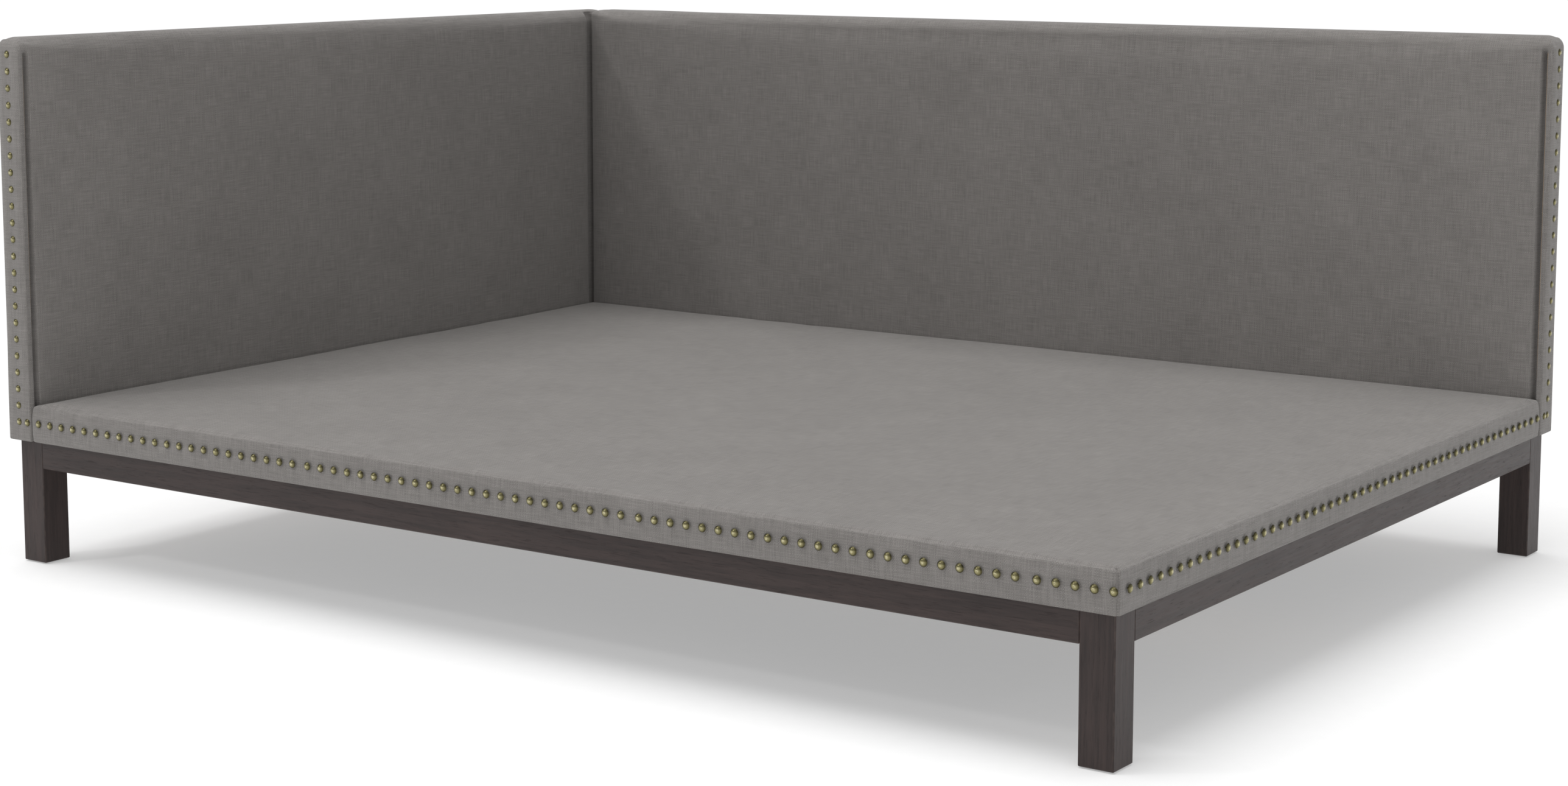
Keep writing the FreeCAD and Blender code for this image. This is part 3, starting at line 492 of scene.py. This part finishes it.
def make_panel(name, panel):
    length, thick, low, high = (panel[key] for key in ("length", "thick", "low", "high"))
    tips = moved(nail_tips(f"{name}_nails", *panel["nails"]), panel["to_own"])
    column = tips[np.abs(tips[:, 1] - thick / 2) < MM]
    extra = [*GROOVE_LINES, TURN_IN, length - TURN_IN, NEAR_EDGE, length - NEAR_EDGE]
    corner = None
    if name == "left_panel":
        corner = deck_high[1] - left_low[1]
        extra += [*(corner + CORNER_LINES)]
    opening = ((TURN_IN, length - TURN_IN), (TURN_IN, thick - TURN_IN))
    lines = (
        grid_lines(0, length, PANEL_TOP_ROUND, PANEL_TOP_ROUND, extra=extra),
        grid_lines(0, thick, PANEL_TOP_ROUND, PANEL_TOP_ROUND,
                   extra=[*opening[1], NEAR_EDGE, thick - NEAR_EDGE]),
        grid_lines(low, high, PANEL_HEM_ROUND, PANEL_TOP_ROUND, between_nails(column[:, 2])),
    )
    flat, faces = box_of_lines(lines, opening)
    s, t, z = flat.T
    up = eased(z, low + PANEL_FOOT_BLEND, high - PANEL_CROWN_BLEND)
    edge = PANEL_FOOT_ROUND + (PANEL_TOP_ROUND - PANEL_FOOT_ROUND) * up
    power = np.maximum(2, math.log(2) / -np.log(1 - UPRIGHT_INSET / edge))
    hem = np.full_like(z, PANEL_HEM_ROUND)
    crown = np.full_like(z, PANEL_TOP_ROUND)
    if name == "back_panel":
        crown -= BACK_CROWN_LESS * eased(s, *(length - BACK_CROWN_BLEND))
    points = rounded(
        flat, np.array([0, 0, low]), np.array([length, thick, high]),
        np.stack([edge, edge, hem], axis=1), np.stack([edge, edge, crown], axis=1), power,
    )
    points[:, 1] += SET_BACK * (1 - eased(t, 0, SET_BACK_DEPTH)) * eased(s, 0, SET_BACK_LENGTH)
    under = z < low + EPS
    strip = (s < EPS) & (z < high - PANEL_TOP_ROUND)
    far_end = s > length - EPS
    outer = t > thick - EPS
    return {
        "object": mesh_object(f"{name}_upholstery", points, faces),
        "held": np.where(under | strip | far_end | outer, 1.0, 0.0),
        "cap": np.where(z > high - PANEL_TOP_ROUND, PANEL_TOP_CAP, PANEL_SIDE_CAP),
        "opening": opening,
        "tips": tips,
        "corner": corner,
    }


def finish_panel(name, panel, pad):
    obj = pad["object"]
    subdivide(obj)
    length, thick, low, high = (panel[key] for key in ("length", "thick", "low", "high"))
    s, t, z = points_of(obj.data).T
    # the groove between the nailed end strip and the pad, on both faces, up to the crown
    groove = bump(s, GROOVE["centre"], GROOVE["width"]) * fall(z, high, GROOVE_FALL)
    t = (t + GROOVE["depth"] * groove * (t < GROOVE_FACE)
         - GROOVE["behind"] * groove * (t > thick - GROOVE_FACE))
    if pad["corner"] is not None:
        past = s - pad["corner"]
        dip = eased(past, *CORNER_START) * (1 - eased(past, *CORNER_END))
        t = t + CORNER_DEPTH * dip * fall(z, high, CORNER_FALL) * (t < CORNER_FACE)
    # the end strip stands out a little between its nails
    band = rise(z, low, STRIP_RISE) * fall(z, high, STRIP_FALL)
    band *= rise(t, 0, STRIP_SIDE) * fall(t, thick, STRIP_SIDE[::-1])
    between = pull(np.stack([s, t, z], axis=1), pad["tips"], [1, 2])
    s = s - PANEL_STAND_OUT * band * (s < STRIP_FACE) * between
    # nothing goes past the faces that stand against something
    t = np.minimum(t, thick)
    z = np.maximum(z, low)
    if name == "back_panel":
        s = np.minimum(s, length)
    set_points(obj.data, np.stack([s, t, z], axis=1))
    facing_low, facing_high = own_box(panel, f"{name}_facing")
    rail_low, rail_high = own_box(panel, f"{name}_bottom_rail")
    board_low, _ = own_box(panel, f"{name}_board")
    opening = pad["opening"]
    whole = ((facing_low[0], rail_high[0]), (rail_low[1], rail_high[1]))
    foot = tuple((near + RAIL_CHAMFER, far - RAIL_CHAMFER) for near, far in whole)

    def round_frame(base, room, height):
        return trimmed(stretched(base, opening, room, height), room)

    def behind_board(base, height):
        made = round_frame(base, whole, height)
        room_side = base[:, 1] < thick / 2
        past = room_side & (made[:, 0] > facing_high[0])
        made[past, 1] = board_low[1]
        first = past & (made[:, 0] < facing_high[0] + GRID_STEP / 2)
        made[first, 0] = facing_high[0]
        return made

    hollow(obj, [
        lambda base: stretched(base, opening, opening, rail_low[2]),
        lambda base: round_frame(base, foot, rail_low[2]),
        lambda base: round_frame(base, whole, rail_low[2] + RAIL_CHAMFER),
        lambda base: round_frame(base, whole, rail_high[2]),
        lambda base: behind_board(base, rail_high[2]),
        lambda base: behind_board(base, facing_high[2]),
    ])
    set_points(obj.data, moved(points_of(obj.data), panel["to_frame"]))
    if panel["mirrored"]:
        obj.data.flip_normals()


# ---------------------------------------------------------------------------
# Materials
# ---------------------------------------------------------------------------
class Material:
    """A material's nodes, with short ways to add and link them."""

    def __init__(self, name):
        self.made = bpy.data.materials.new(name)
        self.made.use_nodes = True
        self.tree = self.made.node_tree
        self.tree.nodes.clear()

    def node(self, kind, inputs=None, **settings):
        made = self.tree.nodes.new(f"ShaderNode{kind}")
        for key, value in settings.items():
            setattr(made, key, value)
        for key, value in (inputs or {}).items():
            if isinstance(value, bpy.types.NodeSocket):
                self.tree.links.new(value, made.inputs[key])
            else:
                made.inputs[key].default_value = value
        return made

    def math(self, operation, *values):
        return self.node("Math", dict(enumerate(values)), operation=operation).outputs[0]

    def place(self):
        return self.node("TexCoord").outputs["Object"]

    def normal(self):
        return self.node("NewGeometry").outputs["Normal"]

    def parts(self, vector):
        return self.node("SeparateXYZ", {0: vector}).outputs

    def scaled(self, vector, scale):
        inputs = {"Vector": vector, "Scale": scale}
        return self.node("Mapping", inputs).outputs["Vector"]

    def noise(self, vector, scale, detail=2.0, roughness=0.5):
        inputs = {"Vector": vector, "Scale": scale, "Detail": detail, "Roughness": roughness}
        return self.node("TexNoise", inputs).outputs["Fac"]

    def ramp(self, value, low, high, to_low=0.0, to_high=1.0):
        inputs = {"Value": value, "From Min": low, "From Max": high,
                  "To Min": to_low, "To Max": to_high}
        return self.node("MapRange", inputs).outputs["Result"]

    def spread(self, noise, to_low=0.0, to_high=1.0):
        """A noise's values, nearly all from 0.3 to 0.7, spread over a range."""
        return self.ramp(noise, 0.3, 0.7, to_low, to_high)

    def add(self, *values):
        """The sum of two or more numbers."""
        total = values[0]
        for value in values[1:]:
            total = self.math("ADD", total, value)
        return total

    def times(self, a, b):
        return self.math("MULTIPLY", a, b)

    def mix(self, factor, a, b):
        """Between two colours."""
        inputs = {"Factor": factor, 6: a, 7: b}
        return self.node("Mix", inputs, data_type="RGBA").outputs[2]

    def blend(self, factor, a, b):
        """Between two numbers."""
        return self.node("Mix", {"Factor": factor, 2: a, 3: b}, data_type="FLOAT").outputs[0]

    def surface(self, colour, roughness, height, depth, strength=1.0, **shader):
        relief = self.node("Bump", {"Height": height, "Distance": depth, "Strength": strength})
        inputs = {"Base Color": colour, "Roughness": roughness, "Normal": relief.outputs[0]}
        inputs.update({key.replace("_", " "): value for key, value in shader.items()})
        body = self.node("BsdfPrincipled", inputs)
        output = self.node("OutputMaterial")
        self.tree.links.new(body.outputs[0], output.inputs["Surface"])
        return self.made


def cloth_plane(m):
    """A place on the cloth along its two threads, whichever way the face points."""
    x, y, z = m.parts(m.place())
    nx, ny, nz = (m.math("ABSOLUTE", part) for part in m.parts(m.normal()))
    level = m.math("GREATER_THAN", nz, m.math("MAXIMUM", nx, ny))
    sideways = m.times(m.math("GREATER_THAN", nx, ny), m.math("SUBTRACT", 1.0, level))
    u, v = m.blend(sideways, x, y), m.blend(level, z, y)
    return u, v, m.node("CombineXYZ", {0: u, 1: v, 2: 0.0}).outputs[0]


def woven(name, dark, light, pitch, worn):
    """Plain weave of slubby yarn: threads over and under, thick places, clouds, rubbed edges."""
    wander, crown, slub_length = 2.2 * pitch, 0.35, 26.0
    m = Material(name)
    u, v, flat = cloth_plane(m)
    place = m.place()
    drift = m.times(m.math("SUBTRACT", m.noise(flat, 90.0), 0.5), wander)
    phase = math.pi / pitch
    across = m.math("SINE", m.times(m.add(u, drift), phase))
    along = m.math("SINE", m.times(m.math("SUBTRACT", v, drift), phase))
    over = m.math("GREATER_THAN", m.times(across, along), 0.0)
    a, b = m.math("ABSOLUTE", across), m.math("ABSOLUTE", along)
    warp = m.times(a, m.math("POWER", b, crown))
    weft = m.times(b, m.math("POWER", a, crown))
    thread = m.blend(over, warp, weft)
    warp_slub = m.noise(m.scaled(flat, (1 / pitch, slub_length, 1.0)), 1.0)
    weft_slub = m.noise(m.scaled(flat, (slub_length, 1 / pitch, 1.0)), 1.0)
    slub = m.blend(over, warp_slub, weft_slub)
    clouds = m.noise(place, 7.0, 4.0, 0.55)
    patches = m.noise(place, 31.0, 3.0, 0.6)
    tone = m.add(m.spread(slub, -0.26, 0.26), m.spread(clouds, -0.055, 0.055),
                 m.spread(patches, -0.04, 0.04), m.ramp(thread, 0.0, 1.0, -0.22, 0.18),
                 m.ramp(over, 0.0, 1.0, 0.44, 0.56))
    yarn = m.mix(m.ramp(tone, 0.0, 1.0), dark, light)
    bend = m.node("NewGeometry").outputs["Pointiness"]
    wear_and_painted_highlight = m.times(m.ramp(bend, 0.53, 0.64), m.spread(patches, 0.10, 0.45))
    height = m.add(m.times(thread, 0.7), m.times(slub, 0.6))
    return m.surface(m.mix(wear_and_painted_highlight, yarn, worn), m.spread(slub, 0.95, 0.80), height,
                     0.45 * MM, 0.8, Sheen_Weight=0.22, Sheen_Roughness=0.45,
                     Specular_IOR_Level=0.25)


GRAIN = {"x": (3.0, 60.0, 60.0), "y": (60.0, 3.0, 60.0), "z": (60.0, 60.0, 3.0)}


def timber(name, along, dark, light, roughness, coat, worn):
    """Wood whose grain runs along an axis: growth bands, pores, and stain rubbed off edges."""
    rings_per_band, edge_radius = 46.0, 1.8 * MM
    m = Material(name)
    place = m.place()

    def grain(finer=1):
        return m.scaled(place, tuple(finer * k for k in GRAIN[along]))

    rings = m.math("SINE", m.times(m.noise(grain(), 0.45, 4.0, 0.6), rings_per_band))
    fibres = m.noise(grain(finer=4), 1.6, 3.0, 0.7)
    pores = m.math("LESS_THAN", m.noise(grain(finer=9), 1.4), 0.36)
    blotch = m.noise(place, 9.0, 3.0)
    tone = m.add(m.ramp(rings, -1.0, 1.0, 0.25, 0.60), m.spread(fibres, -0.22, 0.30),
                 m.spread(blotch, -0.15, 0.15))
    tone = m.math("SUBTRACT", tone, m.times(pores, 0.30))
    wood = m.mix(m.ramp(tone, 0.0, 1.0), dark, light)
    soft = m.node("Bevel", {"Radius": edge_radius}, samples=4).outputs[0]
    same = m.node("VectorMath", {0: soft, 1: m.normal()}, operation="DOT_PRODUCT")
    edge = m.times(m.ramp(same.outputs["Value"], 0.998, 0.93),
                   m.ramp(m.noise(place, 70.0, 3.0), 0.42, 0.62))
    colour = m.mix(m.times(edge, 0.55), wood, worn)
    rough = m.add(m.spread(fibres, roughness - 0.06, roughness + 0.08), m.times(pores, 0.15))
    height = m.math("SUBTRACT", m.times(fibres, 0.5), m.times(pores, 0.6))
    return m.surface(colour, rough, height, 0.25 * MM, 0.6,
                     Coat_Weight=coat, Coat_Roughness=0.35, Specular_IOR_Level=0.28)


def metal(name, dark, light, roughness, cell, relief, dullness):
    """Metal with patina in patches and small dents or brushing."""
    m = Material(name)
    place = m.place()
    patina = m.noise(place, 180.0, 4.0, 0.6)
    fine = m.noise(place, cell, 3.0, 0.6)
    colour = m.mix(m.ramp(patina, 0.35, 0.65), dark, light)
    rough = m.ramp(m.add(patina, fine), 0.7, 1.3, roughness + dullness, roughness)
    return m.surface(colour, rough, fine, relief, 0.5, Metallic=1.0)


def domed_brass(name, rim_patina_and_painted_shade, dome, wear_and_painted_highlight):
    """Nail heads: brass with a painted highlight on the dome's top and painted shade, partly
    patina, round the rim.
    """
    m = Material(name)
    place = m.place()
    nx, ny, _ = (m.math("ABSOLUTE", part) for part in m.parts(m.normal()))
    patina = m.noise(place, 260.0, 4.0, 0.6)
    dents = m.noise(place, 420.0)
    facing = m.add(m.math("MAXIMUM", nx, ny), m.spread(patina, -0.04, 0.04))
    # the rim, where the dome's normal tilts away, goes dark: painted shade, partly patina
    clear_of_rim_shade = m.ramp(facing, 0.66, 0.96)
    # the top of each dome takes a painted highlight colour, mixed in where the face points
    # straight out
    colour = m.mix(m.ramp(facing, 0.95, 1.0, 0.0, 0.80), m.mix(clear_of_rim_shade, rim_patina_and_painted_shade, dome), wear_and_painted_highlight)
    rough = m.ramp(m.add(patina, m.times(clear_of_rim_shade, -0.3)), 0.1, 0.5, 0.20, 0.40)
    return m.surface(colour, rough, dents, 0.10 * MM, 0.5, Metallic=1.0)


def coated(name, dark, light, roughness, cell, relief):
    """Powder coat or moulded plastic: a fine orange peel and faint clouds."""
    m = Material(name)
    place = m.place()
    peel = m.noise(place, cell)
    clouds = m.noise(place, 24.0, 3.0)
    colour = m.mix(m.spread(clouds), dark, light)
    rough = m.ramp(m.add(peel, clouds), 0.7, 1.3, roughness - 0.07, roughness + 0.09)
    return m.surface(colour, rough, peel, relief, 0.5)


def lining(name, dark, light):
    """Bonded dust cloth: crossing fibres over a grid of pressed points."""
    m = Material(name)
    _, _, flat = cloth_plane(m)
    fibres = m.noise(flat, 900.0, 3.0, 0.7)
    points = m.node("TexVoronoi", {"Vector": flat, "Scale": 420.0}).outputs["Distance"]
    tone = m.add(m.spread(fibres, 0.1, 0.8), m.ramp(points, 0.0, 0.6, -0.2, 0.2))
    colour = m.mix(m.ramp(tone, 0.0, 1.0), dark, light)
    return m.surface(colour, m.spread(fibres, 0.8, 0.95), tone, 0.2 * MM, 0.6)


def plywood(name, dark, light, veneer, thin):
    """Board: birch face grain with veneer layers along its edges."""
    m = Material(name)
    place = m.place()
    grain = m.noise(m.scaled(place, GRAIN["x"]), 1.1, 4.0, 0.65)
    layers = m.math("SINE", m.times(m.parts(place)[2], 2 * math.pi / thin))
    face = m.mix(m.spread(grain), dark, light)
    colour = m.mix(m.ramp(layers, 0.2, 0.6, 0.0, 0.45), face, veneer)
    return m.surface(colour, m.spread(grain, 0.6, 0.8), grain, 0.2 * MM, 0.5)


def in_each_direction(name, *look):
    """The same wood with its grain along x, y and z."""
    return {axis: timber(f"{name}_{axis}", axis, *look) for axis in "xyz"}


cloth = woven("upholstery_cloth", (0.118, 0.110, 0.104, 1), (0.288, 0.272, 0.258, 1),
              1.7 * MM, (0.30, 0.285, 0.27, 1))
stain = in_each_direction("stained_wood", (0.0190, 0.0118, 0.0108, 1), (0.045, 0.0295, 0.0268, 1),
                          0.45, 0.12, (0.11, 0.075, 0.060, 1))
pine = in_each_direction("frame_timber", (0.40, 0.22, 0.10, 1), (0.66, 0.45, 0.25, 1),
                         0.62, 0.0, (0.72, 0.54, 0.34, 1))
finishes = {
    "lining_cloth": lining("lining_cloth", (0.006, 0.006, 0.007, 1), (0.030, 0.030, 0.033, 1)),
    "plywood": plywood("plywood", (0.42, 0.27, 0.14, 1), (0.62, 0.44, 0.26, 1),
                       (0.24, 0.14, 0.07, 1), 3 * MM),
    "hardboard": coated("hardboard", (0.16, 0.085, 0.04, 1), (0.24, 0.13, 0.065, 1),
                        0.7, 700.0, 0.15 * MM),
    # nail heads: a rim colour that is painted shade and partly patina, an olive dome, and a
    # painted highlight colour for the dome's top
    "antique_brass": domed_brass("antique_brass", (0.030, 0.026, 0.012, 1),
                                 (0.27, 0.245, 0.125, 1), (0.58, 0.54, 0.36, 1)),
    "zinc_steel": metal("zinc_steel", (0.42, 0.42, 0.43, 1), (0.66, 0.66, 0.68, 1),
                        0.28, 900.0, 0.05 * MM, 0.15),
    "black_steel": coated("black_steel", (0.010, 0.010, 0.011, 1), (0.026, 0.026, 0.028, 1),
                          0.45, 1500.0, 0.10 * MM),
    "black_plastic": coated("black_plastic", (0.012, 0.012, 0.013, 1), (0.030, 0.030, 0.032, 1),
                            0.55, 1100.0, 0.08 * MM),
}


def long_axis(node):
    low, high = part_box(node)
    return "xyz"[max(range(3), key=lambda axis: high[axis] - low[axis])]


def dress_nodes():
    """Gives each CAD node its finish. The cloth is also for the foam, which is replaced."""
    for part in frame["record"]["subparts"]:
        node, slot = part["node"], part["material_slot"]
        if slot == "stained_wood":
            finish = stain[long_axis(node)]
        elif slot == "frame_timber":
            finish = pine[long_axis(node)]
        else:
            finish = finishes.get(slot, cloth)
        mesh = frame["nodes"][node].data
        mesh.materials.clear()
        mesh.materials.append(finish)


# ---------------------------------------------------------------------------
# Build
# ---------------------------------------------------------------------------
deck = make_deck()
panels = {name: make_panel(name, panel) for name, panel in PANELS.items()}
let_out([deck, *panels.values()])
finish_deck(deck)
for name, panel in PANELS.items():
    finish_panel(name, panel, panels[name])
dress_nodes()

REPLACED = {
    "deck_upholstery": ["deck_cover", "deck_foam"],
    "left_panel_upholstery": ["left_panel_cover", "left_panel_foam"],
    "back_panel_upholstery": ["back_panel_cover", "back_panel_foam"],
}
for pad in (deck, *panels.values()):
    obj = pad["object"]
    obj.data.polygons.foreach_set("use_smooth", np.ones(len(obj.data.polygons), bool))
    obj.data.materials.clear()
    obj.data.materials.append(cloth)
    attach(obj, "bed_frame")
    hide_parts(*REPLACED[obj.name])


# ---------------------------------------------------------------------------
# Studio: pale floor, soft light, camera
# ---------------------------------------------------------------------------
FLOOR_SIZE = 80.0
RING_SIDES, RING_RADIUS, RING_HEIGHT = 96, 78.0, 9.0
CAMERA_TILT, CAMERA_TURN = 7.33, 34.90


def stage(name, points, faces, cell, glow):
    """A matt pale surface with a faint speckle, which glows a little."""
    m = Material(name)
    speck = m.noise(m.place(), cell)
    colour = m.mix(speck, (0.58, 0.58, 0.58, 1), (0.61, 0.61, 0.61, 1))
    finish = m.surface(colour, m.spread(speck, 0.85, 0.95), speck, 0.05 * MM, 0.2,
                       Emission_Color=(1, 1, 1, 1), Emission_Strength=glow,
                       Specular_IOR_Level=0.1)
    made = mesh_object(name, points, faces)
    made.data.materials.append(finish)


def make_floor():
    corners = [(-1, -1, 0), (1, -1, 0), (1, 1, 0), (-1, 1, 0)]
    stage("studio_floor", np.array(corners) * FLOOR_SIZE, np.array([[0, 1, 2, 3]]), 40.0, 0.36)


def make_backdrop():
    """A low ring far away, as bright as the floor, so no horizon shows."""
    here = np.arange(RING_SIDES)
    there = (here + 1) % RING_SIDES
    turns = here * 2 * math.pi / RING_SIDES
    ring = np.stack([np.cos(turns), np.sin(turns), np.zeros(RING_SIDES)], axis=1) * RING_RADIUS
    points = np.concatenate([ring, ring + (0, 0, RING_HEIGHT)])
    faces = np.stack([there, here, here + RING_SIDES, there + RING_SIDES], axis=1)
    stage("studio_backdrop", points, faces, 0.5, 0.9)


def add_light(name, kind, place, target, energy, **settings):
    data = bpy.data.lights.new(name, kind)
    data.energy = energy
    for key, value in settings.items():
        setattr(data, key, value)
    lamp = bpy.data.objects.new(name, data)
    bpy.context.scene.collection.objects.link(lamp)
    lamp.location = place
    lamp.rotation_euler = (Vector(place) - Vector(target)).to_track_quat("Z", "Y").to_euler()


make_floor()
make_backdrop()
scene = bpy.context.scene
scene.view_settings.view_transform = "Standard"
scene.world = bpy.data.worlds.new("studio")
scene.world.use_nodes = True
sky = scene.world.node_tree.nodes["Background"]
sky.inputs["Color"].default_value = (1, 1, 1, 1)
sky.inputs["Strength"].default_value = 0.485
add_light("overhead", "SUN", (-1.0, -0.4, 6), (0, 0, 0), 2.1, angle=math.radians(50))
add_light("key", "AREA", (-2.6, -3.6, 3.4), (0, -0.5, 0.3), 27.0, shape="DISK", size=0.45)
add_light("side", "AREA", (4.2, -1.4, 2.0), (0.5, 0, 0.3), 3.0, shape="DISK", size=0.4)
add_light("room", "AREA", (1.0, -0.8, 3.2), (-0.2, 0, 0.3), 5.0, shape="DISK", size=1.2)

camera = bpy.data.objects.new("camera", bpy.data.cameras.new("camera"))
scene.collection.objects.link(camera)
camera.location = (2.510, -3.604, 1.026)
camera.rotation_euler = (math.radians(90 - CAMERA_TILT), 0, math.radians(CAMERA_TURN))
camera.data.sensor_width = 36
camera.data.lens = 64.92
camera.data.shift_y = -0.08
camera.data.clip_end = 200
scene.camera = camera
